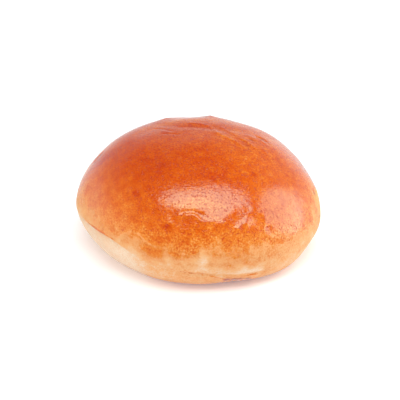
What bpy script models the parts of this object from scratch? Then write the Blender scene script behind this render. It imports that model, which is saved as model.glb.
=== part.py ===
"""Models a brioche burger bun, uncut, as one closed solid standing on its flat base.

Metres, +Z up, the origin under the middle of the bun. Azimuths are in degrees from +X towards +Y, so
the bun's front is at 270. Profile angles are in degrees from the top, 0, by the waist, 90, to the
middle of the base, 180. Run it with blender --background --python part.py.
"""

import math

import bpy
import numpy as np

# Main form: a rounded plan, a low dome and an under curve that the base plane cuts off
PLAN_RADIUS = 0.0515
BUN_HEIGHT = 0.0495
WAIST_HEIGHT = 0.0171
WAIST_TILT = 0.09
WAIST_HIGH_AZIMUTH = 183
DOME_SQUARENESS = 0.926
UNDER_SQUARENESS = 0.283
UNDER_ROUNDNESS = 1.333
UNDER_REACH = 1.092

# Lobes of the plan and of the base: how many, size as a share of the radius, azimuth of one crest
PLAN_LOBES = [(2, 0.0134, 139), (3, 0.0101, 68), (4, 0.0036, 18), (5, 0.0086, 37)]
BASE_LOBES = [(1, 0.0118, 352), (2, 0.0195, 111), (3, 0.0044, 67), (4, 0.0129, 49), (5, 0.0152, 35)]

# Broad swells and hollows of the dough: azimuth, profile angle, how far each stands out
SWELLS = [
    (180, 62, -0.0007),
    (150, 45, 0.0006),
    (125, 34, 0.0006),
    (72, 30, 0.0007),
    (35, 42, 0.0004),
    (15, 55, -0.0005),
    (355, 72, 0.0003),
    (345, 90, 0.0009),
    (200, 80, -0.0009),
]
SWELL_WIDTH = 0.011

# Trough across the top, where the crust sank a little as it cooled
TROUGH_MIDDLE = (0.001, 0.0073)
TROUGH_BEND = 28
TROUGH_HALF_LENGTH = 0.020
TROUGH_HALF_WIDTH = 0.0035
TROUGH_DEPTH = 0.0005

# Parting between the crust and the paler side, as azimuth and height of points on it
PARTING_LINE = [
    (0, 0.0105),
    (45, 0.0095),
    (90, 0.0110),
    (125, 0.0115),
    (150, 0.0140),
    (178, 0.0175),
    (205, 0.0187),
    (222, 0.0190),
    (232, 0.0173),
    (243, 0.0134),
    (254, 0.0110),
    (270, 0.0102),
    (286, 0.0090),
    (298, 0.0078),
    (325, 0.0092),
]
PARTING_EASING = 5

# On the left the crust laps over the side in a fold, and elsewhere a shallow crease parts them
FOLD_AZIMUTH = 208
FOLD_SPREAD = 19
FOLD_LIP = 0.0006
FOLD_STEP = 0.0010
LIP_RISE = 0.0050
STEP_DROP = 0.0040
CREASE_AZIMUTH = 276
CREASE_SPREAD = 30
CREASE_DEPTH = 0.0004
CREASE_WIDTH = 0.0012
FAINTEST_CREASE = 0.45

# Places where the rim of the base is drawn in: azimuth, spread, depth
RIM_PUCKERS = [(288, 7, 0.0005), (42, 9, 0.0008), (128, 8, 0.0007), (336, 6, 0.0005)]
PUCKER_RISE = 0.0042

# Slow unevenness of the dough
WAVE_COUNT = 7
WAVE_LENGTHS = (0.018, 0.042)
WAVE_SIZE = 0.00008
WAVE_SEED = 5
WAVE_FADE_HEIGHT = 0.004

# Mesh: rings from the top to the parting, from there to the base's rim, and across the base
SEGMENTS = 108
DOME_RINGS = 28
SIDE_RINGS = 12
BASE_RINGS = 3
DOME_EASING = 0.8
SIDE_EASING = 1.5

CRUST_COLOUR = (0.62, 0.19, 0.04, 1.0)
CRUST_ROUGHNESS = 0.35


def clear_scene():
    for item in list(bpy.data.objects):
        bpy.data.objects.remove(item, do_unlink=True)


def bump(distance, spread):
    return np.exp(-((distance / spread) ** 2))


def turn_between(azimuth, centre):
    """Degrees from centre to azimuth, the short way round."""
    return (azimuth - centre + 180) % 360 - 180


def lobed(azimuth, crests):
    """1 plus the waves round the plan that the list of lobes gives."""
    total = np.ones_like(azimuth)
    for count, size, crest in crests:
        total += size * np.cos(np.radians(count * (azimuth - crest)))
    return total


def waist_height(azimuth):
    return WAIST_HEIGHT * (1 + WAIST_TILT * np.cos(np.radians(azimuth - WAIST_HIGH_AZIMUTH)))


def parting_height(azimuth):
    """Height of the parting: its points joined, then eased by averaging over nearby azimuths."""
    at, height = zip(*PARTING_LINE)
    total = np.zeros_like(azimuth)
    steps = np.linspace(-2, 2, 9)
    for step in steps:
        total += np.interp(azimuth + step * PARTING_EASING, at, height, period=360)
    return total / len(steps)


def dome_angle(height, waist):
    """Profile angle where the dome reaches this height, 90 at the waist and below it."""
    return np.degrees(np.arccos(np.clip((height - waist) / (BUN_HEIGHT - waist), 0, 1)))


def under_angle(height, waist):
    """Degrees below the waist where the under curve reaches this height, 0 above it."""
    share = np.clip((1 - height / waist) / UNDER_REACH, 0, 1)
    return np.degrees(np.arcsin(share ** (1 / UNDER_ROUNDNESS)))


def plain_form(azimuth, angle):
    """Points of the bun before its folds and swells. The last axis is x, y, z."""
    waist = waist_height(azimuth)
    dome = np.radians(np.minimum(angle, 90))
    under = np.radians(np.maximum(angle - 90, 0))
    radius = np.sin(dome) ** DOME_SQUARENESS * np.maximum(np.cos(under), 0) ** UNDER_SQUARENESS
    rim_shape = 1 + (lobed(azimuth, BASE_LOBES) - 1) * np.sin(under) ** 2
    reach = PLAN_RADIUS * radius * lobed(azimuth, PLAN_LOBES) * rim_shape
    drop = waist * UNDER_REACH * np.sin(under) ** UNDER_ROUNDNESS
    height = np.maximum(waist + (BUN_HEIGHT - waist) * np.cos(dome) - drop, 0)
    turn = np.radians(azimuth)
    return np.stack([reach * np.cos(turn), reach * np.sin(turn), height], axis=-1)


def ring_angles(azimuth):
    """Profile angles, ring by azimuth. Ring DOME_RINGS lies all along the parting."""
    waist = waist_height(azimuth)
    height = parting_height(azimuth)
    parting = dome_angle(height, waist) + under_angle(height, waist)
    rim = 90 + under_angle(np.zeros_like(azimuth), waist)
    down = np.sin(np.linspace(0, 1, DOME_RINGS + 1) * DOME_EASING * math.pi / 2)
    below = np.linspace(0, 1, SIDE_RINGS + 1)[1:] ** SIDE_EASING
    inward = np.linspace(0, 1, BASE_RINGS + 1)[1:]
    return np.concatenate([
        parting * (down / down[-1])[:, None],
        parting + (rim - parting) * below[:, None],
        rim + (180 - rim) * inward[:, None],
    ])


def outward_normals(points):
    """Unit normals of the grid of points, which closes on itself round the azimuths."""
    around = np.roll(points, -1, axis=1) - np.roll(points, 1, axis=1)
    normal = np.cross(np.gradient(points, axis=0), around)
    normal /= np.maximum(np.linalg.norm(normal, axis=-1, keepdims=True), 1e-12)
    normal[0] = (0, 0, 1)
    return normal


def swell_offset(points):
    offset = np.zeros(points.shape[:2])
    for azimuth, angle, size in SWELLS:
        centre = plain_form(np.array(float(azimuth)), angle)
        offset += size * bump(np.linalg.norm(points - centre, axis=-1), SWELL_WIDTH)
    return offset


def trough_offset(points):
    """The trough runs along x, and bends back on its left."""
    across = points[..., 0] - TROUGH_MIDDLE[0]
    middle_line = TROUGH_MIDDLE[1] + TROUGH_BEND * np.minimum(across, 0) ** 2
    cut = bump(points[..., 1] - middle_line, TROUGH_HALF_WIDTH) * bump(across, TROUGH_HALF_LENGTH)
    return -TROUGH_DEPTH * cut * (points[..., 2] > WAIST_HEIGHT)


def parting_offset(azimuth, points):
    """The fold's lip above the parting and step below it, and the shallow crease."""
    lengths = np.linalg.norm(np.diff(points, axis=0), axis=-1)
    down = np.concatenate([np.zeros((1, len(azimuth))), np.cumsum(lengths, axis=0)])
    above = down[DOME_RINGS] - down
    fold = bump(turn_between(azimuth, FOLD_AZIMUTH), FOLD_SPREAD)
    lip = np.where(above >= 0, FOLD_LIP * np.exp(-np.abs(above) / LIP_RISE), 0)
    step = np.where(above < 0, FOLD_STEP * np.exp(-np.abs(above) / STEP_DROP), 0)
    strongest = bump(turn_between(azimuth, CREASE_AZIMUTH), CREASE_SPREAD)
    strength = FAINTEST_CREASE + (1 - FAINTEST_CREASE) * strongest
    return fold * (lip - step) - (1 - fold) * strength * CREASE_DEPTH * bump(above, CREASE_WIDTH)


def rim_pucker_offset(azimuth, points):
    offset = np.zeros(points.shape[:2])
    for centre, spread, depth in RIM_PUCKERS:
        drawn_in = bump(turn_between(azimuth, centre), spread)
        offset -= depth * drawn_in * bump(points[..., 2], PUCKER_RISE)
    return offset


def wave_offset(points):
    """A sum of long waves in random directions, the same each time, which fades out at the base."""
    draw = np.random.default_rng(WAVE_SEED)
    offset = np.zeros(points.shape[:2])
    for _ in range(WAVE_COUNT):
        direction = draw.normal(size=3)
        direction /= np.linalg.norm(direction)
        length = draw.uniform(*WAVE_LENGTHS)
        phase = draw.uniform(0, 2 * math.pi)
        offset += WAVE_SIZE * np.sin(2 * math.pi * (points @ direction) / length + phase)
    return offset * np.clip(points[..., 2] / WAVE_FADE_HEIGHT, 0, 1)


def bun_points():
    """The finished surface as a grid: ring 0 is the top, the last ring the middle of the base."""
    azimuth = np.arange(SEGMENTS) * 360 / SEGMENTS
    points = plain_form(azimuth, ring_angles(azimuth))
    offset = swell_offset(points) + trough_offset(points) + wave_offset(points)
    offset += parting_offset(azimuth, points) + rim_pucker_offset(azimuth, points)
    points += outward_normals(points) * offset[..., None]
    points[0] = points[0].mean(axis=0)
    points[-1 - BASE_RINGS:, :, 2] = 0
    middle = (points.max(axis=(0, 1)) + points.min(axis=(0, 1))) / 2
    points[..., :2] -= middle[:2]
    return points


def crust_material():
    material = bpy.data.materials.new("baked_crust")
    material.use_nodes = True
    shader = material.node_tree.nodes["Principled BSDF"]
    shader.inputs["Base Color"].default_value = CRUST_COLOUR
    shader.inputs["Roughness"].default_value = CRUST_ROUGHNESS
    shader.inputs["Metallic"].default_value = 0.0
    return material


def make_bun():
    """A UV sphere whose vertices go to the bun's grid, ring for ring and segment for segment."""
    rings = DOME_RINGS + SIDE_RINGS + BASE_RINGS
    bpy.ops.mesh.primitive_uv_sphere_add(segments=SEGMENTS, ring_count=rings, radius=1)
    bun = bpy.context.object
    bun.name = "bun"
    mesh = bun.data
    mesh.name = "bun"
    sphere = np.empty(len(mesh.vertices) * 3, np.float32)
    mesh.vertices.foreach_get("co", sphere)
    sphere = sphere.reshape(-1, 3)
    ring = np.rint(np.arccos(np.clip(sphere[:, 2], -1, 1)) / math.pi * rings).astype(int)
    turn = np.arctan2(sphere[:, 1], sphere[:, 0]) / (2 * math.pi) * SEGMENTS
    segment = np.rint(turn).astype(int) % SEGMENTS
    placed = bun_points()[ring, segment]
    mesh.vertices.foreach_set("co", placed.astype(np.float32).ravel())
    mesh.update()
    bpy.ops.object.shade_smooth()
    mesh.materials.append(crust_material())
    return bun


def main():
    clear_scene()
    bun = make_bun()
    collection = bpy.data.collections.new("brioche_burger_bun")
    bpy.context.scene.collection.children.link(collection)
    for holder in list(bun.users_collection):
        holder.objects.unlink(bun)
    collection.objects.link(bun)


main()
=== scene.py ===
"""Dresses the brioche burger bun: its baked surface in full relief, its crust, and a studio.

Metres, +Z up, the same frame as the solids. Azimuths are in degrees from +X towards +Y, so the side
that the camera sees is at 270. Profile angles are in degrees from the top, 0, by the waist, 90, to
the middle of the base, 180. The main form repeats the solids' named sizes.
"""

import math

import bpy
import numpy as np
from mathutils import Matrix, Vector


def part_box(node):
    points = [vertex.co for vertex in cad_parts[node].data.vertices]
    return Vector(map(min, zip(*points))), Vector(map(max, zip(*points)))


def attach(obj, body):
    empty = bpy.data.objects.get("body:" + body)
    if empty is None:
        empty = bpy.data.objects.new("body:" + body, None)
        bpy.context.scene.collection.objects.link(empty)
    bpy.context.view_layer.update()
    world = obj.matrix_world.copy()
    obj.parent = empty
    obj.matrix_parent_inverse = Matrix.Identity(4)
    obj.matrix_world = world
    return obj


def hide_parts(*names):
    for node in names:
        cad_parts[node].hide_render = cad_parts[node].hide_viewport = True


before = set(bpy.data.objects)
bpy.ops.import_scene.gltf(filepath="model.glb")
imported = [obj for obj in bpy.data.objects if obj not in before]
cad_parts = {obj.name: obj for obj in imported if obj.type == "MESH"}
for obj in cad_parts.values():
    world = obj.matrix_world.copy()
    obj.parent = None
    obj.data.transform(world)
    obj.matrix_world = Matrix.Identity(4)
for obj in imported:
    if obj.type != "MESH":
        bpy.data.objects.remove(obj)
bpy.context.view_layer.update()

# Main form: a rounded plan, a low dome and an under curve that the base plane cuts off
PLAN_RADIUS = 0.0515
BUN_HEIGHT = 0.0495
WAIST_HEIGHT = 0.0171
WAIST_TILT = 0.09
WAIST_HIGH_AZIMUTH = 183
DOME_SQUARENESS = 0.926
UNDER_SQUARENESS = 0.283
UNDER_ROUNDNESS = 1.333
UNDER_REACH = 1.092

# Lobes of the plan and of the base: how many, size as a share of the radius, azimuth of one crest
PLAN_LOBES = [(2, 0.0134, 139), (3, 0.0101, 68), (4, 0.0036, 18), (5, 0.0086, 37)]
BASE_LOBES = [(1, 0.0118, 352), (2, 0.0195, 111), (3, 0.0044, 67), (4, 0.0129, 49), (5, 0.0152, 35)]

# Broad swells and hollows of the dough: azimuth, profile angle, how far each stands out
SWELLS = [
    (180, 62, -0.0007),
    (150, 45, 0.0006),
    (125, 34, 0.0006),
    (72, 30, 0.0007),
    (35, 42, 0.0004),
    (15, 55, -0.0005),
    (355, 72, 0.0008),
    (345, 90, 0.0009),
    (200, 80, -0.0009),
]
SWELL_WIDTH = 0.011

# Trough across the top, where the crust sank a little as it cooled
TROUGH_MIDDLE = (0.001, 0.0073)
TROUGH_BEND = 28
TROUGH_HALF_LENGTH = 0.020
TROUGH_HALF_WIDTH = 0.0035
TROUGH_DEPTH = 0.0003

# Parting between the crust and the paler side, as azimuth and height of points on it
PARTING_LINE = [
    (0, 0.0105),
    (45, 0.0095),
    (90, 0.0110),
    (125, 0.0115),
    (150, 0.0140),
    (178, 0.0179),
    (205, 0.0188),
    (222, 0.0198),
    (232, 0.0183),
    (243, 0.0134),
    (254, 0.0110),
    (270, 0.0102),
    (286, 0.0090),
    (298, 0.0078),
    (325, 0.0092),
]
# Its height is averaged over these turns, in degrees, to ease the corners
PARTING_EASING = np.linspace(-10, 10, 9)

# On the left the crust laps over the side in a fold, and elsewhere a shallow crease parts them
FOLD_AZIMUTH = 208
FOLD_SPREAD = 19
FOLD_LIP = 0.0006
FOLD_STEP = 0.0010
LIP_RISE = 0.0050
STEP_DROP = 0.0040
CREASE_AZIMUTH = 276
CREASE_SPREAD = 30
CREASE_DEPTH = 0.0004
CREASE_WIDTH = 0.0009
FAINTEST_CREASE = 0.45

# Places where the rim of the base is drawn in: azimuth, spread, depth
RIM_PUCKERS = [(288, 7, 0.0003), (42, 9, 0.0008), (128, 8, 0.0007), (336, 6, 0.0005)]
PUCKER_RISE = 0.0042
PLEAT_PITCH = 3.4
PLEAT_DEPTH = 0.0003
PLEAT_RISE = 0.0030

# Slow unevenness of the dough. It and the fine relief fade in over the lowest few millimetres
WAVE_COUNT = 7
WAVE_LENGTHS = (0.018, 0.042)
WAVE_SIZE = 0.00008
WAVE_SEED = 5
FADE_HEIGHT = 0.004

# Mesh: rings from the top to the parting, from there to the base's rim, and across the base. The
# easings draw the rings together towards the parting
SEGMENTS = 480
DOME_RINGS = 142
SIDE_RINGS = 50
BASE_RINGS = 12
DOME_EASING = 0.55
SIDE_EASING = 1.2
# Keeps the division that makes normals one long from a division by nothing
SMALLEST_LENGTH = 1e-12

# Fine relief of the crust, broad then fine: size of its lumps, octaves and seed, how far they stand
# out, and how much longer the fine ones are along x
SLOW_GRAIN = (0.0085, 1, 10)
SLOW_SIZE = 0.00008
FINE_GRAIN = (0.0022, 2, 20)
FINE_SIZE = 0.000023
FINE_STRETCH = (1.0, 1.9, 1.9)

# Noise: cells of its lattice each way before it repeats, and the factor that brings it to about 1
LATTICE = 48
NOISE_GAIN = 1.6

# Wrinkles, or grooves where the height is negative: height, half width, azimuths and profile angles
RIDGES = [
    (0.00020, 0.0020, [(288.0, 55.5), (283.0, 58.5), (281.0, 62.5)]),
    (0.00018, 0.0025, [(260.5, 54.8), (265.0, 55.2)]),
    (-0.00020, 0.0026, [(259.0, 63.5), (264.0, 64.0)]),
    (-0.00016, 0.0024, [(289.5, 62.5), (300.0, 65.0)]),
    (0.00045, 0.0006, [(263.0, 58.9), (267.0, 58.2), (269.5, 59.6), (271.2, 62.3), (276.5, 62.3)]),
    (-0.00030, 0.0007, [(261.0, 56.8), (263.0, 56.3), (267.5, 55.9), (270.0, 57.0)]),
    (0.00036, 0.0012, [(294.5, 63.5), (291.5, 66.0), (288.5, 68.5)]),
    (0.00020, 0.0009, [(293.5, 65.5), (293.0, 69.5)]),
    (-0.00030, 0.0007, [(173.5, 58.5), (172.5, 56.0), (171.5, 53.5), (170.5, 51.5)]),
    (0.00010, 0.0008, [(303.5, 62.0), (303.5, 66.0), (301.0, 71.0), (302.0, 75.5), (305.0, 77.3)]),
    (0.00022, 0.0008, [
        (229.5, 87.3), (231.5, 82.1), (234.5, 78.7), (238.0, 76.6), (241.5, 76.8), (244.0, 79.3),
    ]),
    (0.00018, 0.0008, [(244.0, 79.3), (247.0, 81.4), (250.5, 82.4), (255.0, 82.1)]),
    (-0.00011, 0.0009, [(133.5, 11.8), (113.0, 9.8), (96.0, 8.0), (70.5, 8.7), (46.5, 8.4)]),
    (-0.00014, 0.0009, [(46.5, 8.4), (26.0, 10.8), (7.5, 14.6), (0.5, 18.4)]),
    (0.00020, 0.0008, [(43.0, 13.3), (16.0, 14.3), (1.5, 17.8), (350.0, 22.4), (344.5, 26.2)]),
    (0.00008, 0.0009, [(149.0, 7.7), (127.5, 6.0), (86.0, 4.9), (30.0, 4.9)]),
    (-0.00018, 0.0008, [(148.5, 23.2), (149.5, 18.7), (155.5, 13.2)]),
    (-0.00018, 0.0008, [(167.5, 15.3), (171.0, 11.8), (176.0, 8.0)]),
    (-0.00026, 0.0006, [(353.0, 18.7), (349.0, 20.8)]),
    (-0.00026, 0.0006, [(2.0, 22.8), (358.0, 24.9)]),
    (-0.00034, 0.0007, [(15.0, 28.4), (12.0, 31.1), (8.0, 32.5)]),
    (0.00016, 0.0006, [(12.5, 23.2), (2.5, 27.3)]),
    (0.00020, 0.0008, [(107.0, 13.6), (84.0, 11.5), (64.5, 10.5), (40.0, 8.0), (14.5, 7.7)]),
    (0.00022, 0.0008, [(14.5, 7.7), (352.0, 11.5), (344.0, 16.1), (337.0, 20.6)]),
    (0.00018, 0.0007, [(9.5, 27.3), (1.0, 31.5)]),
    (-0.00012, 0.0006, [(60.5, 11.1), (32.0, 12.2), (10.5, 14.9)]),
    (-0.00016, 0.0006, [(13.0, 28.7), (2.5, 34.2)]),
    (0.00012, 0.0006, [(347.5, 30.1), (342.5, 33.9)]),
    (-0.00020, 0.0007, [(14.5, 66.3), (1.0, 61.1)]),
    (-0.00020, 0.0006, [(348.5, 68.0), (346.0, 73.0)]),
    (0.00020, 0.0008, [(118.0, 33.0), (108.0, 31.0), (96.0, 30.5), (80.0, 31.5)]),
]

# Small dents, and bumps where the height is positive: azimuth, profile angle, radius, height
DENTS = [
    (95.0, 30.5, 0.0055, -0.00060),
    (79.0, 30.0, 0.0025, 0.00040),
    (120.0, 33.0, 0.0030, 0.00040),
    (271.5, 58.4, 0.0016, -0.00045),
    (254.5, 64.6, 0.0014, 0.00020),
    (281.5, 66.0, 0.0022, 0.00016),
    (269.5, 54.9, 0.0010, -0.00010),
    (291.0, 66.4, 0.0008, -0.00010),
    (296.0, 56.6, 0.0019, -0.00013),
    (298.5, 64.5, 0.0020, -0.00014),
    (304.0, 71.4, 0.0011, -0.00018),
    (282.0, 38.7, 0.0012, 0.00011),
    (310.5, 40.1, 0.0010, 0.00014),
    (312.5, 37.0, 0.0009, -0.00012),
    (254.0, 62.5, 0.0016, 0.00006),
    (281.0, 56.3, 0.0005, -0.00010),
    (283.5, 51.1, 0.0005, -0.00008),
    (274.0, 47.3, 0.0005, -0.00008),
    (254.5, 53.5, 0.0005, -0.00008),
    (278.5, 18.4, 0.0005, 0.00012),
    (356.5, 79.0, 0.0009, -0.00018),
]

# Dark spots: azimuth, profile angle, radius, how dark. Most are baked into the crust; the three at
# azimuths 172.5 to 174.5 are painted shade in the groove on the left outline
SPOTS = [
    (234.5, 28.7, 0.0005, 0.40),
    (235.5, 30.8, 0.0005, 0.40),
    (280.5, 35.5, 0.0010, 0.20),
    (342.5, 22.2, 0.0009, 0.55),
    (351.0, 19.8, 0.0007, 0.50),
    (0.0, 23.9, 0.0008, 0.70),
    (11.5, 30.9, 0.0009, 0.90),
    (7.0, 63.0, 0.0011, 0.85),
    (347.5, 70.5, 0.0009, 0.85),
    (356.5, 79.0, 0.0008, 0.60),
    # Painted shade in the groove on the left outline
    (174.5, 57.5, 0.0011, 0.90),
    (173.5, 55.3, 0.0015, 1.00),
    (172.5, 53.0, 0.0013, 1.00),
    (343.5, 85.4, 0.0008, 0.80),
    (284.0, 133.5, 0.0014, 1.00),
    (287.5, 134.5, 0.0015, 1.00),
    (290.5, 135.5, 0.0014, 0.95),
    (294.5, 137.0, 0.0013, 0.80),
    (68.0, 50.0, 0.0010, 0.50),
    (118.0, 62.0, 0.0010, 0.45),
    (95.0, 40.0, 0.0006, 0.50),
]

# How deeply the crust is baked, as profile angle and share: the deepest tone is 1, cream is 0
LEFT_BAKE = [
    (0, 0.87),
    (20, 0.90),
    (34, 0.93),
    (42, 0.89),
    (50, 0.83),
    (60, 0.76),
    (68, 0.70),
    (74, 0.62),
    (80, 0.51),
    (84, 0.42),
    (90, 0.30),
    (96, 0.22),
    (106, 0.16),
    (120, 0.12),
]
FRONT_BAKE = [
    (0, 0.86),
    (20, 0.90),
    (32, 0.89),
    (40, 0.88),
    (50, 0.89),
    (58, 0.88),
    (64, 0.78),
    (72, 0.73),
    (78, 0.63),
    (84, 0.55),
    (90, 0.47),
    (98, 0.44),
    (106, 0.42),
    (112, 0.38),
    (120, 0.30),
]
RIGHT_BAKE = [
    (0, 0.84),
    (16, 0.80),
    (34, 0.79),
    (60, 0.78),
    (68, 0.74),
    (74, 0.67),
    (80, 0.61),
    (88, 0.47),
    (98, 0.42),
    (112, 0.38),
    (122, 0.34),
]
# The azimuths where each of these holds. Between them one gives way to the next
BAKE_SIDES = [
    (20, RIGHT_BAKE),
    (55, FRONT_BAKE),
    (120, LEFT_BAKE),
    (238, LEFT_BAKE),
    (246, FRONT_BAKE),
    (289, FRONT_BAKE),
    (310, RIGHT_BAKE),
]
# Distances below the parting between which the crust's tone gives way to the side's
PARTING_BLEND = (-0.0006, 0.0010)
# The side below the parting: azimuth and share, how much more the rim is baked and the profile angles
# where that sets in, the darker very edge of the base, partly baked and partly painted contact shade,
# and how far it rises, and the underside
SIDE_BAKE = [
    (0, 0.30),
    (40, 0.20),
    (110, 0.24),
    (150, 0.16),
    (190, 0.09),
    (236, 0.05),
    (243, 0.20),
    (250, 0.30),
    (262, 0.36),
    (285, 0.38),
    (298, 0.33),
    (320, 0.27),
    (336, 0.25),
]
RIM_BAKE = 0.06
RIM_ANGLES = (134, 146)
EDGE_BAKE_AND_SHADE = 0.50
EDGE_RISE = 0.0010
UNDER_BAKE = 0.42
# The dark line where the crust laps over, partly a deeper baked lip edge and partly painted shade in
# the fold's crease: how much darker it is, its azimuth and spread, how far above the parting it lies
# and its half width
GROOVE_BAKE_AND_SHADE = 0.40
GROOVE_PLACE = (214, 11)
GROOVE_RISE = 0.0003
GROOVE_WIDTH = 0.0005
# Noise, as size of its lumps, octaves and seed: lumps that shift the tones up and down, in degrees, and
# mottling, which is strongest halfway between cream and the deepest tone
LUMP_GRAIN = (0.013, 2, 70)
LUMP_SHIFT = 2.0
MOTTLE_GRAIN = (0.0036, 3, 30)
MOTTLE_BAKE = 0.12
MOTTLE_GAIN = 5
LEAST_MOTTLE = 0.5

# Patches of another tone: azimuth, profile angle, half width, half height, change. Most are stains of
# the crust; the paler patch under the large highlight and the paler band along the right outline are
# painted sheen
STAINS_AND_PAINTED_SHEEN = [
    (230.5, 52.1, 0.0012, 0.0008, 0.26),
    (232.3, 52.4, 0.0012, 0.0008, 0.28),
    (217.0, 30.4, 0.0018, 0.0011, 0.14),
    (235.0, 29.7, 0.0008, 0.0011, 0.20),
    (280.5, 35.5, 0.0011, 0.0010, 0.22),
    (312.3, 37.0, 0.0011, 0.0010, 0.30),
    (336.5, 48.3, 0.0010, 0.0010, 0.24),
    # Paler patch under the large highlight: painted highlight
    (267.0, 52.0, 0.0130, 0.0050, -0.20),
    (255.0, 67.3, 0.0026, 0.0013, 0.16),
    (251.5, 77.3, 0.0016, 0.0013, 0.16),
    (266.5, 62.8, 0.0030, 0.0009, 0.12),
    (287.0, 72.0, 0.0070, 0.0026, -0.09),
    (297.0, 74.5, 0.0026, 0.0016, -0.05),
    (290.5, 66.2, 0.0010, 0.0008, 0.10),
    (304.0, 71.6, 0.0010, 0.0009, 0.18),
    (265.0, 76.0, 0.0004, 0.0022, 0.12),
    (250.5, 94.0, 0.0040, 0.0070, 0.08),
    (245.5, 86.1, 0.0018, 0.0012, 0.16),
    (249.0, 87.8, 0.0026, 0.0014, 0.14),
    (235.5, 68.3, 0.0024, 0.0012, 0.14),
    (232.0, 76.6, 0.0018, 0.0012, 0.12),
    (222.0, 79.3, 0.0030, 0.0016, 0.08),
    (213.5, 85.7, 0.0022, 0.0012, 0.08),
    (226.5, 83.0, 0.0040, 0.0016, 0.06),
    (271.5, 97.6, 0.0028, 0.0070, -0.18),
    (277.5, 92.4, 0.0040, 0.0090, -0.08),
    (246.5, 89.6, 0.0020, 0.0060, -0.08),
    (256.5, 105.0, 0.0035, 0.0035, -0.11),
    (311.5, 109.2, 0.0030, 0.0040, -0.08),
    (312.0, 84.0, 0.0020, 0.0020, -0.10),
    (319.5, 89.2, 0.0040, 0.0045, -0.09),
    (163.0, 15.0, 0.0025, 0.0012, 0.08),
    (335.0, 89.2, 0.0030, 0.0045, -0.09),
    (344.0, 74.0, 0.0035, 0.0045, -0.14),
    (184.0, 49.0, 0.0040, 0.0070, 0.10),
    (266.0, 105.0, 0.0045, 0.0035, -0.07),
    (277.0, 79.0, 0.0025, 0.0030, -0.10),
    (294.0, 80.0, 0.0025, 0.0022, -0.14),
    (293.5, 104.8, 0.0030, 0.0026, -0.07),
    (240.0, 80.5, 0.0020, 0.0014, -0.10),
    (208.0, 69.0, 0.0040, 0.0040, 0.08),
    (234.0, 72.0, 0.0026, 0.0014, 0.09),
    (324.0, 74.0, 0.0020, 0.0030, 0.06),
    (337.0, 75.5, 0.0040, 0.0040, -0.10),
    (286.5, 89.6, 0.0028, 0.0050, -0.09),
    (216.0, 93.0, 0.0070, 0.0028, 0.08),
    (294.0, 68.0, 0.0012, 0.0016, -0.10),
    (300.0, 73.0, 0.0016, 0.0025, -0.10),
    (306.0, 78.0, 0.0020, 0.0020, -0.10),
    (180.0, 53.0, 0.0040, 0.0060, 0.14),
    (272.0, 87.5, 0.0020, 0.0040, -0.08),
    (252.0, 107.8, 0.0060, 0.0020, -0.14),
    (292.0, 86.1, 0.0030, 0.0018, -0.12),
    (286.0, 87.5, 0.0014, 0.0007, 0.14),
    (282.0, 88.9, 0.0035, 0.0010, -0.07),
    (294.0, 100.1, 0.0045, 0.0014, 0.12),
    (282.0, 101.1, 0.0025, 0.0013, 0.10),
    # Paler band along the right outline: painted sheen
    (352.0, 75.0, 0.0060, 0.0080, -0.26),
    (329.0, 106.0, 0.0080, 0.0050, -0.07),
    (30.0, 100.0, 0.0090, 0.0040, -0.10),
    (110.0, 95.0, 0.0100, 0.0050, -0.10),
    (70.0, 88.0, 0.0060, 0.0030, 0.08),
    (150.0, 84.0, 0.0050, 0.0020, 0.10),
    (10.0, 95.0, 0.0060, 0.0030, 0.08),
]
# Thin streaks of another tone: change, half width, azimuths and profile angles. The pale one along the
# far top rim is painted sheen
STREAKS = [
    (-0.11, 0.0028, [(279.0, 121.5), (284.5, 119.5), (290.5, 117.5), (294.5, 117.5)]),
    (-0.14, 0.0016, [(288.0, 117.0), (291.5, 115.8), (295.5, 116.3), (299.0, 117.5)]),
    (0.30, 0.0008, [(282.5, 133.5), (286.5, 136.5), (290.5, 138.5), (296.0, 140.0)]),
    (0.20, 0.0005, [(266.0, 115.8), (270.0, 115.1)]),
    (0.26, 0.0006, [(275.5, 122.0), (279.5, 127.0), (284.0, 133.5)]),
    (0.20, 0.0006, [(293.5, 126.5), (298.0, 126.5)]),
    (0.10, 0.0005, [(247.0, 108.5), (254.5, 111.6), (261.5, 115.5), (268.0, 117.2), (277.5, 119.0)]),
    (0.07, 0.0006, [(277.5, 118.5), (283.5, 124.0), (290.0, 126.5), (295.0, 126.5), (301.0, 124.5)]),
    (0.14, 0.0006, [(266.0, 117.2), (273.0, 117.6)]),
    (-0.12, 0.0006, [
        (230.0, 86.8), (231.5, 82.1), (234.5, 78.7), (238.0, 76.2), (241.5, 76.6), (244.0, 79.3),
    ]),
    (-0.10, 0.0006, [(244.0, 79.3), (247.0, 81.4), (250.5, 82.4), (255.0, 82.1)]),
    (-0.14, 0.0003, [(255.0, 79.3), (257.5, 78.7), (260.0, 77.3)]),
    (-0.12, 0.0005, [(301.0, 71.1), (302.0, 75.6), (305.0, 77.3)]),
    # Pale streak along the far top rim: painted sheen
    (-0.14, 0.0040, [(150.0, 30.0), (112.0, 21.0), (95.0, 19.0), (78.0, 21.0), (50.0, 28.0)]),
    (0.08, 0.0007, [(150.0, 12.5), (131.0, 12.0), (113.0, 9.8), (96.0, 8.0)]),
    (-0.07, 0.0007, [(64.5, 10.5), (14.5, 7.7), (352.0, 11.5), (344.0, 16.1), (337.0, 20.6)]),
    (-0.07, 0.0007, [(16.0, 14.3), (1.5, 17.8), (350.0, 22.4), (344.5, 26.2), (343.0, 30.1)]),
    (0.10, 0.0006, [(350.5, 20.5), (342.5, 22.6)]),
]

# Where the speckles of the tone are fainter or stronger: azimuth, profile angle, half width, half
# height, change
SPECKLE_PATCHES = [
    (209.0, 57.0, 0.0250, 0.0200, -0.65),
    (325.0, 64.0, 0.0150, 0.0150, -0.60),
    (325.0, 96.0, 0.0220, 0.0090, 0.80),
    (276.0, 92.0, 0.0200, 0.0060, -0.30),
    (250.0, 92.0, 0.0080, 0.0070, -0.60),
    (250.0, 120.0, 0.0300, 0.0060, 0.80),
]

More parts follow.
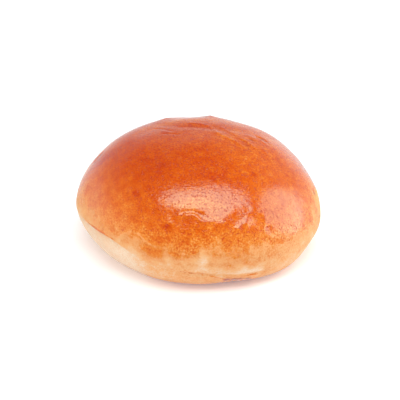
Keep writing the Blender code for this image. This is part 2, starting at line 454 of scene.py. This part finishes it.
# Tones of the crust from unbaked to most baked, as share and colour
CRUST_TONES = [
    (0.00, (0.775, 0.605, 0.440)),
    (0.08, (0.755, 0.530, 0.341)),
    (0.20, (0.750, 0.445, 0.229)),
    (0.34, (0.745, 0.357, 0.124)),
    (0.50, (0.702, 0.244, 0.042)),
    (0.59, (0.670, 0.190, 0.020)),
    (0.74, (0.610, 0.115, 0.006)),
    (0.87, (0.532, 0.070, 0.002)),
    (1.00, (0.450, 0.037, 0.001)),
]
# Colour of the dark spots, also used for the painted shade in the left outline's groove
SPOT_COLOUR = (0.30, 0.018, 0.001)
GLAZE_IOR = 1.6
# Roughness of the plain surface and of the full glaze, and how deeply baked the surface is at each
GLAZE_ROUGHNESS = (0.62, 0.06)
GLAZE_LEVELS = (0.36, 0.60)
# Fine texture of the material, where a noise is its number of grains in a metre and its detail:
# speckles of the tone on the pale side, where crust and side meet and on the deep crust, with the
# levels between which one gives way to the next, slower mottling, pits in the glaze, and grain longer
# along x
SPECKLE_NOISE = (1400, 2)
SPECKLE_TONES = (0.38, 1.25, 0.75)
PALE_LEVELS = (0.40, 0.64)
DEEP_LEVELS = (0.62, 0.82)
MOTTLE_NOISE = (420, 3)
MOTTLE_TONE = 0.14
PIT_NOISE = (1400, 1)
PIT_RANGE = (0.62, 0.71)
PIT_ROUGHNESS = 0.08
PIT_DEPTH = -0.9
GRAIN_STRETCH = (420, 1700, 1700)
GRAIN_DETAIL = 2
GRAIN_HEIGHT = 0.00009
NOISE_MIDDLE = 0.5

# Camera: the photograph's angle, from a distance that gives its perspective
CAMERA_ELEVATION = 27
CAMERA_DISTANCE = 0.60
CAMERA_AIM = (0.0009, 0.0, 0.0184)
CAMERA_LENS = 126

# Lamps that light the bun and that its crust doesn't mirror: outline, place, aim, width, length,
# radiance
OVER_LIGHT = ("ELLIPSE", (0.060, -0.30, 0.87), (0.060, -0.30, 0.0), 0.93, 0.87, 4.3)
RIGHT_LIGHT = ("RECTANGLE", (0.75, 0.00, 0.51), (0.0, 0.00, 0.51), 0.94, 0.92, 2.4)
FILL_LIGHT = ("RECTANGLE", (-0.60, -0.50, 0.45), (0.0, 0.0, 0.02), 0.60, 0.60, 2.9)
# Panels as they lie in glossy reflections, in front of the lamps. They give no diffuse light
OVER_PANEL = ("ELLIPSE", (0.040, -0.305, 0.84), (0.040, -0.305, 0.0), 0.97, 0.75, 4.6)
RIGHT_PANEL = ("ELLIPSE", (0.72, 0.015, 0.43), (0.0, 0.015, 0.43), 0.78, 1.16, 2.95)
PANEL_COLOUR = (0.44, 1.0, 0.90)
# Brightness of the surroundings as they lie in the crust's reflections: height of the direction, from
# straight down, -1, to straight up, 1, and value
STUDIO_WALLS = [
    (-1.00, 0.90),
    (-0.30, 1.00),
    (-0.03, 0.92),
    (0.09, 0.74),
    (0.20, 0.46),
    (0.45, 0.31),
    (0.65, 0.13),
    (0.80, 0.09),
]
# Change of that height at the sides, so that the brightness reaches higher there
SIDE_RISE = -0.20
# Share of that brightness straight in front, behind the camera, and the directions' y from which it
# rises and where it is full
FRONT_SHARE = 0.25
FRONT_REACH = (-0.65, 0.10)
# How much of the rectangle round it each outline of a lamp fills
OUTLINE_SHARE = {"RECTANGLE": 1, "ELLIPSE": math.pi / 4}
FLOOR_SIZE = 6.0
FLOOR_COLOUR = (0.90, 0.88, 0.89, 1.0)
FLOOR_GLOW = 0.26
FLOOR_ROUGHNESS = 0.9
FLOOR_SPECULAR = 0.1


def bump(distance, spread):
    return np.exp(-((distance / spread) ** 2))


def smooth_step(value, low, high):
    share = np.clip((value - low) / (high - low), 0, 1)
    return share * share * (3 - 2 * share)


def turn_between(azimuth, centre):
    """Degrees from centre to azimuth, the short way round."""
    return (azimuth - centre + 180) % 360 - 180


def lobed(azimuth, crests):
    """1 plus the waves round the plan that the list of lobes gives."""
    total = np.ones_like(azimuth)
    for count, size, crest in crests:
        total += size * np.cos(np.radians(count * (azimuth - crest)))
    return total


def waist_height(azimuth):
    return WAIST_HEIGHT * (1 + WAIST_TILT * np.cos(np.radians(azimuth - WAIST_HIGH_AZIMUTH)))


def parting_height(azimuth):
    """Height of the parting: its points joined, then eased by averaging over nearby azimuths."""
    at, height = zip(*PARTING_LINE)
    total = np.zeros_like(azimuth)
    for turn in PARTING_EASING:
        total += np.interp(azimuth + turn, at, height, period=360)
    return total / len(PARTING_EASING)


def dome_angle(height, waist):
    """Profile angle where the dome reaches this height, 90 at the waist and below it."""
    return np.degrees(np.arccos(np.clip((height - waist) / (BUN_HEIGHT - waist), 0, 1)))


def under_angle(height, waist):
    """Degrees below the waist where the under curve reaches this height, 0 above it."""
    share = np.clip((1 - height / waist) / UNDER_REACH, 0, 1)
    return np.degrees(np.arcsin(share ** (1 / UNDER_ROUNDNESS)))


def plain_form(azimuth, angle):
    """Points of the bun before its folds and swells. The last axis is x, y, z."""
    waist = waist_height(azimuth)
    dome = np.radians(np.minimum(angle, 90))
    under = np.radians(np.maximum(angle - 90, 0))
    radius = np.sin(dome) ** DOME_SQUARENESS * np.maximum(np.cos(under), 0) ** UNDER_SQUARENESS
    rim_shape = 1 + (lobed(azimuth, BASE_LOBES) - 1) * np.sin(under) ** 2
    reach = PLAN_RADIUS * radius * lobed(azimuth, PLAN_LOBES) * rim_shape
    drop = waist * UNDER_REACH * np.sin(under) ** UNDER_ROUNDNESS
    height = np.maximum(waist + (BUN_HEIGHT - waist) * np.cos(dome) - drop, 0)
    turn = np.radians(azimuth)
    return np.stack([reach * np.cos(turn), reach * np.sin(turn), height], axis=-1)


def ring_angles(azimuth):
    """Profile angles, ring by azimuth. Ring DOME_RINGS lies all along the parting."""
    waist = waist_height(azimuth)
    height = parting_height(azimuth)
    parting = dome_angle(height, waist) + under_angle(height, waist)
    rim = 90 + under_angle(np.zeros_like(azimuth), waist)
    down = np.sin(np.linspace(0, 1, DOME_RINGS + 1) * DOME_EASING * math.pi / 2)
    below = np.linspace(0, 1, SIDE_RINGS + 1)[1:] ** SIDE_EASING
    inward = np.linspace(0, 1, BASE_RINGS + 1)[1:]
    return np.concatenate([
        parting * (down / down[-1])[:, None],
        parting + (rim - parting) * below[:, None],
        rim + (180 - rim) * inward[:, None],
    ])


def outward_normals(points):
    """Unit normals of the grid of points, which closes on itself round the azimuths."""
    around = np.roll(points, -1, axis=1) - np.roll(points, 1, axis=1)
    normal = np.cross(np.gradient(points, axis=0), around)
    normal /= np.maximum(np.linalg.norm(normal, axis=-1, keepdims=True), SMALLEST_LENGTH)
    normal[0] = (0, 0, 1)
    return normal


def place_on_form(azimuth, angle):
    return plain_form(np.array(float(azimuth)), float(angle))


def place_distance(points, azimuth, angle):
    """Distance from each point to one place on the form."""
    return np.linalg.norm(points - place_on_form(azimuth, angle), axis=-1)


def base_fade(points):
    """0 on the base, rising to 1 where the relief is full."""
    return np.clip(points[..., 2] / FADE_HEIGHT, 0, 1)


def swell_offset(points):
    offset = np.zeros(points.shape[:2])
    for azimuth, angle, size in SWELLS:
        offset += size * bump(place_distance(points, azimuth, angle), SWELL_WIDTH)
    return offset


def trough_offset(points):
    """The trough runs along x, and bends back on its left."""
    across = points[..., 0] - TROUGH_MIDDLE[0]
    middle_line = TROUGH_MIDDLE[1] + TROUGH_BEND * np.minimum(across, 0) ** 2
    cut = bump(points[..., 1] - middle_line, TROUGH_HALF_WIDTH) * bump(across, TROUGH_HALF_LENGTH)
    return -TROUGH_DEPTH * cut * (points[..., 2] > WAIST_HEIGHT)


def above_parting(points):
    """Distance along each meridian from the parting, positive above it."""
    lengths = np.linalg.norm(np.diff(points, axis=0), axis=-1)
    down = np.concatenate([np.zeros((1, points.shape[1])), np.cumsum(lengths, axis=0)])
    return down[DOME_RINGS] - down


def parting_offset(azimuth, above):
    """The fold's lip above the parting and step below it, and the shallow crease."""
    fold = bump(turn_between(azimuth, FOLD_AZIMUTH), FOLD_SPREAD)
    lip = np.where(above >= 0, FOLD_LIP * np.exp(-np.abs(above) / LIP_RISE), 0)
    step = np.where(above < 0, FOLD_STEP * np.exp(-np.abs(above) / STEP_DROP), 0)
    strongest = bump(turn_between(azimuth, CREASE_AZIMUTH), CREASE_SPREAD)
    strength = FAINTEST_CREASE + (1 - FAINTEST_CREASE) * strongest
    return fold * (lip - step) - (1 - fold) * strength * CREASE_DEPTH * bump(above, CREASE_WIDTH)


def rim_pucker_offset(azimuth, points):
    """Drawn-in places of the rim, each with a few fine pleats."""
    offset = np.zeros(points.shape[:2])
    for centre, spread, depth in RIM_PUCKERS:
        turn = turn_between(azimuth, centre)
        pleats = PLEAT_DEPTH * (0.5 + 0.5 * np.cos(2 * math.pi * turn / PLEAT_PITCH))
        rise = bump(points[..., 2], PUCKER_RISE)
        fine_rise = bump(points[..., 2] - PLEAT_RISE / 2, PLEAT_RISE)
        offset -= bump(turn, spread) * (depth * rise + pleats * fine_rise)
    return offset


def wave_offset(points):
    """A sum of long waves in random directions, the same each time, which fades out at the base."""
    draw = np.random.default_rng(WAVE_SEED)
    offset = np.zeros(points.shape[:2])
    for _ in range(WAVE_COUNT):
        direction = draw.normal(size=3)
        direction /= np.linalg.norm(direction)
        length = draw.uniform(*WAVE_LENGTHS)
        phase = draw.uniform(0, 2 * math.pi)
        offset += WAVE_SIZE * np.sin(2 * math.pi * (points @ direction) / length + phase)
    return offset * base_fade(points)


def lattice_noise(places, seed):
    """Smooth noise of about -1 to 1, with one lump or hollow to a unit."""
    draw = np.random.default_rng(seed)
    slopes = draw.normal(size=(LATTICE, LATTICE, LATTICE, 3))
    slopes /= np.linalg.norm(slopes, axis=-1, keepdims=True)
    corner = np.floor(places).astype(int)
    share = places - corner
    weight = share ** 3 * (share * (share * 6 - 15) + 10)
    total = np.zeros(places.shape[:-1])
    for step in np.ndindex(2, 2, 2):
        cell = (corner + step) % LATTICE
        slope = slopes[cell[..., 0], cell[..., 1], cell[..., 2]]
        near = np.where(step, weight, 1 - weight).prod(axis=-1)
        total += near * (slope * (share - step)).sum(axis=-1)
    return total * NOISE_GAIN


def grain(points, size, octaves, seed):
    """Noise whose lumps are this large, with finer octaves that are weaker in turn."""
    total = np.zeros(points.shape[:-1])
    for octave in range(octaves):
        total += lattice_noise(points / size * 2 ** octave, seed + octave) / 2 ** octave
    return total


def line_distance(points, route):
    """Distance from each point to a line on the form through azimuths and profile angles."""
    corners = np.array([place_on_form(azimuth, angle) for azimuth, angle in route])
    nearest = np.full(points.shape[:2], np.inf)
    for start, end in zip(corners[:-1], corners[1:]):
        along = end - start
        share = np.clip((points - start) @ along / (along @ along), 0, 1)
        gap = np.linalg.norm(points - start - share[..., None] * along, axis=-1)
        nearest = np.minimum(nearest, gap)
    return nearest


def ridge_offset(points):
    offset = np.zeros(points.shape[:2])
    for height, half_width, route in RIDGES:
        offset += height * bump(line_distance(points, route), half_width)
    return offset


def dent_offset(points):
    offset = np.zeros(points.shape[:2])
    for azimuth, angle, radius, height in DENTS:
        offset += height * bump(place_distance(points, azimuth, angle), radius)
    return offset


def spot_strength(points):
    strength = np.zeros(points.shape[:2])
    for azimuth, angle, radius, darkness in SPOTS:
        spot = darkness * bump(place_distance(points, azimuth, angle), radius)
        strength = np.maximum(strength, spot)
    return strength


def patch_change(points, patches):
    """Sum of the patches' changes. A patch is an ellipse that lies along the azimuths."""
    change = np.zeros(points.shape[:2])
    for azimuth, angle, half_width, half_height, amount in patches:
        gap = points - place_on_form(azimuth, angle)
        turn = math.radians(azimuth)
        along = gap @ np.array([-math.sin(turn), math.cos(turn), 0])
        across = np.sqrt(np.maximum((gap ** 2).sum(axis=-1) - along ** 2, 0))
        change += amount * bump(along, half_width) * bump(across, half_height)
    return change


def stain_and_sheen_change(points):
    """Sum of the patches' and streaks' changes of tone, painted sheen among them."""
    change = patch_change(points, STAINS_AND_PAINTED_SHEEN)
    for amount, half_width, route in STREAKS:
        change += amount * bump(line_distance(points, route), half_width)
    return change


def crust_level(azimuth, angle):
    """How deeply the crust is baked: between two sides, a share of each one's curve."""
    at = [place for place, _ in BAKE_SIDES]
    level = np.zeros_like(angle)
    for number, (_, curve) in enumerate(BAKE_SIDES):
        share = np.interp(azimuth, at, np.eye(len(at))[number], period=360)
        level += share * np.interp(angle, *zip(*curve))
    return level


def bake_shade_and_sheen_level(azimuth, angle, points, above):
    """How deeply the surface is baked, 0 for cream to 1 for the deepest tone, with painted shade in the
    fold's crease and at the base's edge, and painted sheen from some patches and streaks.
    """
    crust = crust_level(azimuth, angle - LUMP_SHIFT * grain(points, *LUMP_GRAIN))
    side_at, side_tones = zip(*SIDE_BAKE)
    side = np.interp(azimuth, side_at, side_tones, period=360)
    # The very edge of the base: partly baked, partly painted contact shade where it meets the floor
    side = side + RIM_BAKE * smooth_step(angle, *RIM_ANGLES) + EDGE_BAKE_AND_SHADE * bump(points[..., 2], EDGE_RISE)
    side = side + (UNDER_BAKE - side) * (points[..., 2] <= 0)
    level = crust + (side - crust) * smooth_step(-above, *PARTING_BLEND)
    # Dark line at the fold's lip: partly deeper bake, partly painted shade in the crease
    groove = bump(turn_between(azimuth, GROOVE_PLACE[0]), GROOVE_PLACE[1])
    level = level + GROOVE_BAKE_AND_SHADE * groove * bump(above - GROOVE_RISE, GROOVE_WIDTH)
    mottle_share = np.clip(MOTTLE_GAIN * level * (1 - level), LEAST_MOTTLE, 1)
    mottle = MOTTLE_BAKE * grain(points, *MOTTLE_GRAIN) * mottle_share
    return np.clip(level + mottle + stain_and_sheen_change(points), 0, 1)


def relief_offset(azimuth, points, above):
    """How far each point stands out from the plain form."""
    offset = SLOW_SIZE * grain(points, *SLOW_GRAIN)
    offset += FINE_SIZE * grain(points * np.array(FINE_STRETCH), *FINE_GRAIN)
    offset = base_fade(points) * (offset + ridge_offset(points) + dent_offset(points))
    offset += swell_offset(points) + trough_offset(points) + wave_offset(points)
    offset += parting_offset(azimuth, above) + rim_pucker_offset(azimuth, points)
    return offset


def move_into_frame(points):
    """Moves the grid itself: its middle to that of the solid's box, its base to the box's lowest."""
    middle = (points.max(axis=(0, 1)) + points.min(axis=(0, 1))) / 2
    low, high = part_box("bun")
    points[..., 0] += (low.x + high.x) / 2 - middle[0]
    points[..., 1] += (low.y + high.y) / 2 - middle[1]
    points[..., 2] += low.z


def bun_surface():
    """The finished points as a grid, and how each place is baked, spotted and speckled."""
    azimuth = np.arange(SEGMENTS) * 360 / SEGMENTS
    angle = ring_angles(azimuth)
    points = plain_form(azimuth, angle)
    above = above_parting(points)
    looks = {
        # The bake level also holds painted shade at the fold and the base's edge, and painted sheen
        "bake_shade_and_sheen": bake_shade_and_sheen_level(azimuth, angle, points, above),
        # The spots also hold painted shade in the groove on the left outline
        "spots": spot_strength(points),
        "speckled": 1 + patch_change(points, SPECKLE_PATCHES),
    }
    points += outward_normals(points) * relief_offset(azimuth, points, above)[..., None]
    points[0] = points[0].mean(axis=0)
    points[-1 - BASE_RINGS:, :, 2] = 0
    move_into_frame(points)
    return points, looks


def closed_grid_faces(rows, columns):
    """Faces of a grid that closes round its columns, and whose first and last rows are one point."""
    number = np.zeros((rows, columns), int)
    number[1:-1] = 1 + np.arange((rows - 2) * columns).reshape(rows - 2, columns)
    number[-1] = number[-2].max() + 1
    beside = np.roll(number, -1, axis=1)
    top = np.stack([number[0], number[1], beside[1]], axis=-1)
    sides = np.stack([number[1:-2], number[2:-1], beside[2:-1], beside[1:-2]], axis=-1)
    bottom = np.stack([number[-2], number[-1], beside[-2]], axis=-1)
    return top.tolist() + sides.reshape(-1, 4).tolist() + bottom.tolist()


def once_at_poles(grid):
    """The grid's values in the order of the mesh's vertices."""
    rows = grid[1:-1].reshape((-1,) + grid.shape[2:])
    return np.concatenate([grid[:1, 0], rows, grid[-1:, 0]])


def make_bun_mesh():
    points, looks = bun_surface()
    mesh = bpy.data.meshes.new("baked_bun")
    mesh.from_pydata(once_at_poles(points).tolist(), [], closed_grid_faces(*points.shape[:2]))
    for name, values in looks.items():
        attribute = mesh.attributes.new(name, "FLOAT", "POINT")
        attribute.data.foreach_set("value", once_at_poles(values))
    mesh.shade_smooth()
    bun = bpy.data.objects.new("baked_bun", mesh)
    bpy.context.scene.collection.objects.link(bun)
    return bun


class Nodes:
    """Adds nodes to a material or world and links them."""

    def __init__(self, owner):
        owner.use_nodes = True
        self.tree = owner.node_tree

    def fill(self, socket, value):
        """Links the socket to a value that comes from a node, or sets it."""
        if isinstance(value, bpy.types.NodeSocket):
            self.tree.links.new(value, socket)
        else:
            socket.default_value = value

    def add(self, kind, values=None, **settings):
        node = self.tree.nodes.new(kind)
        for name, value in settings.items():
            setattr(node, name, value)
        for name, value in (values or {}).items():
            self.fill(node.inputs[name], value)
        return node

    def combine(self, operation, first, second):
        return self.add("ShaderNodeMath", {0: first, 1: second}, operation=operation).outputs[0]

    def multiply_add(self, first, second, added):
        values = {0: first, 1: second, 2: added}
        return self.add("ShaderNodeMath", values, operation="MULTIPLY_ADD").outputs[0]

    def attribute(self, name):
        return self.add("ShaderNodeAttribute", attribute_name=name).outputs["Fac"]

    def noise(self, place, scale, detail):
        node = self.add("ShaderNodeTexNoise", {"Vector": place, "Scale": scale, "Detail": detail})
        return node.outputs["Fac"]

    def ramp(self, factor, stops):
        node = self.add("ShaderNodeValToRGB", {"Fac": factor})
        elements = node.color_ramp.elements
        while len(elements) < len(stops):
            elements.new(1.0)
        for element, (share, colour) in zip(elements, stops):
            element.position = share
            element.color = (*colour, 1.0)
        return node.outputs["Color"]

    def spread(self, value, low, high, to_low, to_high):
        values = {"Value": value, "From Min": low, "From Max": high, "To Min": to_low, "To Max": to_high}
        return self.add("ShaderNodeMapRange", values).outputs["Result"]

    def mix(self, factor, first, second):
        node = self.add("ShaderNodeMix", data_type="RGBA")
        for name, value in {"Factor": factor, "A": first, "B": second}.items():
            self.fill(next(s for s in node.inputs if s.name == name and s.enabled), value)
        return next(s for s in node.outputs if s.enabled)


def crust_material():
    """Tone from the baked attribute, which holds painted shade and sheen besides the bake, and fine
    speckles, gloss where it is well baked, apart from tiny pits, and fine bumps that are longer along x."""
    material = bpy.data.materials.new("baked_brioche")
    nodes = Nodes(material)
    shader = nodes.tree.nodes["Principled BSDF"]
    place = nodes.add("ShaderNodeTexCoord").outputs["Object"]
    bake_shade_and_sheen = nodes.attribute("bake_shade_and_sheen")
    speckle = nodes.combine("SUBTRACT", nodes.noise(place, *SPECKLE_NOISE), NOISE_MIDDLE)
    pale_amount = nodes.spread(bake_shade_and_sheen, *PALE_LEVELS, *SPECKLE_TONES[:2])
    deep_amount = nodes.spread(bake_shade_and_sheen, *DEEP_LEVELS, *SPECKLE_TONES[1:])
    amount = nodes.combine("MINIMUM", pale_amount, deep_amount)
    amount = nodes.combine("MULTIPLY", amount, nodes.attribute("speckled"))
    mottle = nodes.combine("SUBTRACT", nodes.noise(place, *MOTTLE_NOISE), NOISE_MIDDLE)
    tone = nodes.multiply_add(speckle, amount, bake_shade_and_sheen)
    tone = nodes.multiply_add(mottle, MOTTLE_TONE, tone)
    colour = nodes.ramp(tone, CRUST_TONES)
    colour = nodes.mix(nodes.attribute("spots"), colour, (*SPOT_COLOUR, 1.0))
    nodes.tree.links.new(colour, shader.inputs["Base Color"])
    pits = nodes.spread(nodes.noise(place, *PIT_NOISE), *PIT_RANGE, 0, 1)
    rough = nodes.spread(bake_shade_and_sheen, *GLAZE_LEVELS, *GLAZE_ROUGHNESS)
    rough = nodes.multiply_add(pits, PIT_ROUGHNESS, rough)
    nodes.tree.links.new(rough, shader.inputs["Roughness"])
    shader.inputs["IOR"].default_value = GLAZE_IOR
    stretched = nodes.add("ShaderNodeVectorMath", {0: place, 1: GRAIN_STRETCH}, operation="MULTIPLY")
    height = nodes.noise(stretched.outputs[0], 1, GRAIN_DETAIL)
    height = nodes.multiply_add(pits, PIT_DEPTH, height)
    bumps = nodes.add("ShaderNodeBump", {"Height": height, "Strength": 1.0, "Distance": GRAIN_HEIGHT})
    nodes.tree.links.new(bumps.outputs["Normal"], shader.inputs["Normal"])
    return material


def floor_material():
    material = bpy.data.materials.new("pale_floor")
    nodes = Nodes(material)
    shader = nodes.tree.nodes["Principled BSDF"]
    shader.inputs["Base Color"].default_value = FLOOR_COLOUR
    shader.inputs["Roughness"].default_value = FLOOR_ROUGHNESS
    shader.inputs["Specular IOR Level"].default_value = FLOOR_SPECULAR
    shader.inputs["Emission Color"].default_value = FLOOR_COLOUR
    shader.inputs["Emission Strength"].default_value = FLOOR_GLOW
    return material


def add_bun():
    bun = make_bun_mesh()
    bun.data.materials.append(crust_material())
    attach(bun, "root")
    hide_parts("bun")


def add_floor():
    bpy.ops.mesh.primitive_plane_add(size=FLOOR_SIZE)
    floor = bpy.context.object
    floor.name = "floor"
    floor.data.materials.append(floor_material())
    floor.visible_glossy = False


def add_camera():
    elevation = math.radians(CAMERA_ELEVATION)
    back = Vector((0, -math.cos(elevation), math.sin(elevation)))
    camera = bpy.data.objects.new("camera", bpy.data.cameras.new("camera"))
    camera.data.lens = CAMERA_LENS
    camera.location = Vector(CAMERA_AIM) + CAMERA_DISTANCE * back
    camera.rotation_euler = (math.pi / 2 - elevation, 0, 0)
    bpy.context.scene.collection.objects.link(camera)
    bpy.context.scene.camera = camera


def add_light(name, settings):
    """A flat lamp facing its aim. Its power is pi times its area and radiance."""
    outline, place, aim, width, length, radiance = settings
    lamp = bpy.data.lights.new(name, "AREA")
    lamp.shape = outline
    lamp.size = width
    lamp.size_y = length
    lamp.energy = radiance * math.pi * width * length * OUTLINE_SHARE[outline]
    light = bpy.data.objects.new(name, lamp)
    light.location = place
    light.rotation_euler = (Vector(aim) - Vector(place)).to_track_quat("-Z", "Y").to_euler()
    bpy.context.scene.collection.objects.link(light)
    return light


def add_lamp(name, settings):
    light = add_light(name, settings)
    light.visible_glossy = False


def add_panel(name, settings):
    light = add_light(name, settings)
    light.data.color = PANEL_COLOUR
    light.visible_diffuse = False


def add_world():
    """White near the horizon, as a bright studio is, and dim overhead. At the sides it reaches higher.
    Under the horizon only the crust's reflections show it, since they pass through the floor."""
    world = bpy.data.worlds.new("studio")
    bpy.context.scene.world = world
    nodes = Nodes(world)
    background = nodes.tree.nodes["Background"]
    direction = nodes.add("ShaderNodeTexCoord").outputs["Generated"]
    part = nodes.add("ShaderNodeSeparateXYZ", {"Vector": direction}).outputs
    sideways = nodes.combine("MULTIPLY", part["X"], part["X"])
    height = nodes.multiply_add(sideways, SIDE_RISE, part["Z"])
    walls = [((at + 1) / 2, (value,) * 3) for at, value in STUDIO_WALLS]
    brightness = nodes.ramp(nodes.spread(height, -1, 1, 0, 1), walls)
    nodes.tree.links.new(brightness, background.inputs["Color"])
    share = nodes.spread(part["Y"], *FRONT_REACH, FRONT_SHARE, 1)
    nodes.tree.links.new(share, background.inputs["Strength"])


add_camera()
add_bun()
add_floor()
add_lamp("lamp_over", OVER_LIGHT)
add_lamp("lamp_right", RIGHT_LIGHT)
add_lamp("fill", FILL_LIGHT)
add_panel("panel_over", OVER_PANEL)
add_panel("panel_right", RIGHT_PANEL)
add_world()
bpy.context.scene.view_settings.view_transform = "Standard"
